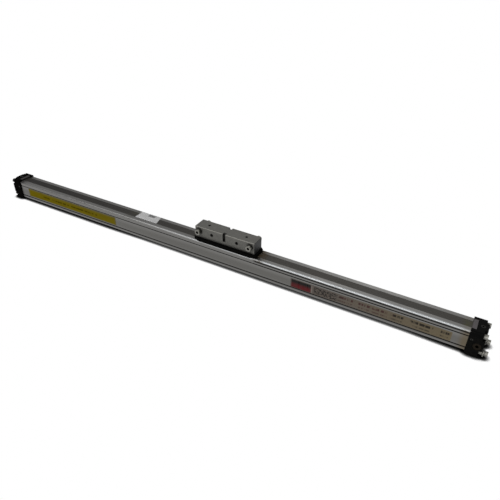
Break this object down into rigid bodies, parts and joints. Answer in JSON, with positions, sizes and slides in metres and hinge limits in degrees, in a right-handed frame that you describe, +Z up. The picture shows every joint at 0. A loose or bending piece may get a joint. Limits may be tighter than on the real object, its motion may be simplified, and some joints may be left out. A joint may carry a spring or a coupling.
{
  "type": "rodless pneumatic cylinder",
  "caption": "Rodless air cylinder: slotted profile tube with cover band, black end caps with cushion screws and ports, and a sliding carriage with threaded holes.",
  "frame": {"origin": "middle of the overall length and width, at the undersides of the end caps", "axes": "+X along the tube towards the end with the two foot screws, -Y the front with the cushion screws, +Z up through the carriage"},
  "size_m": [1.0986, 0.0442, 0.076],
  "materials": {
    "tube_aluminium": "clear anodised extrusion, satin",
    "block_aluminium": "clear anodised, fine milled",
    "yoke_aluminium": "die cast, hidden inside",
    "cap_black": "black coated casting, satin",
    "black_plastic": "black moulded plastic",
    "band_plastic": "dark grey band, smooth",
    "bearing_plastic": "bearing plastic",
    "rubber": "black seal rubber",
    "steel": "zinc plated or bright steel",
    "plug_steel": "dark plated steel"
  },
  "bodies": {
    "cylinder": {"barrel": "tube_aluminium", "outer_band": "band_plastic", "inner_band": "steel", "left_end_cap": "cap_black", "right_end_cap": "cap_black", "left_cap_seal": "rubber", "right_cap_seal": "rubber", "left_cushion_spigot": "steel", "right_cushion_spigot": "steel", "left_port_plugs": "plug_steel", "right_port_plugs": "plug_steel", "left_band_clamp": "block_aluminium", "right_band_clamp": "block_aluminium", "left_clamp_screw": "steel", "right_clamp_screw": "steel", "left_cap_screws": "steel", "right_cap_screws": "steel", "foot_screws": "steel", "foot_washers": "steel", "foot_spring_washers": "steel"},
    "carriage": {"carriage_block": "block_aluminium", "carriage_base": "black_plastic", "left_scraper": "black_plastic", "right_scraper": "black_plastic", "slide_strips": "bearing_plastic", "left_band_guide": "black_plastic", "right_band_guide": "black_plastic", "carriage_side_screws": "steel", "carriage_side_washers": "steel", "yoke": "yoke_aluminium", "yoke_screws": "steel", "left_piston": "black_plastic", "right_piston": "black_plastic", "left_piston_seal": "rubber", "right_piston_seal": "rubber", "left_guide_ring": "bearing_plastic", "right_guide_ring": "bearing_plastic", "left_piston_screw": "steel", "right_piston_screw": "steel"},
    "left_needle": {"left_cushion_screw": "steel"},
    "right_needle": {"right_cushion_screw": "steel"}
  },
  "joints": [
    {"name": "carriage_slide", "type": "slide", "parent": "cylinder", "child": "carriage", "axis": [1, 0, 0], "range_m": [-0.5025, 0.3825], "deforming": ["outer_band", "inner_band"]},
    {"name": "left_cushion_turn", "type": "hinge", "parent": "cylinder", "child": "left_needle", "pos_m": [-0.5278, -0.015, 0.0315], "axis": [0, -1, 0], "range_deg": [0, 720]},
    {"name": "right_cushion_turn", "type": "hinge", "parent": "cylinder", "child": "right_needle", "pos_m": [0.5202, -0.015, 0.0315], "axis": [0, -1, 0], "range_deg": [0, 720]}
  ]
}
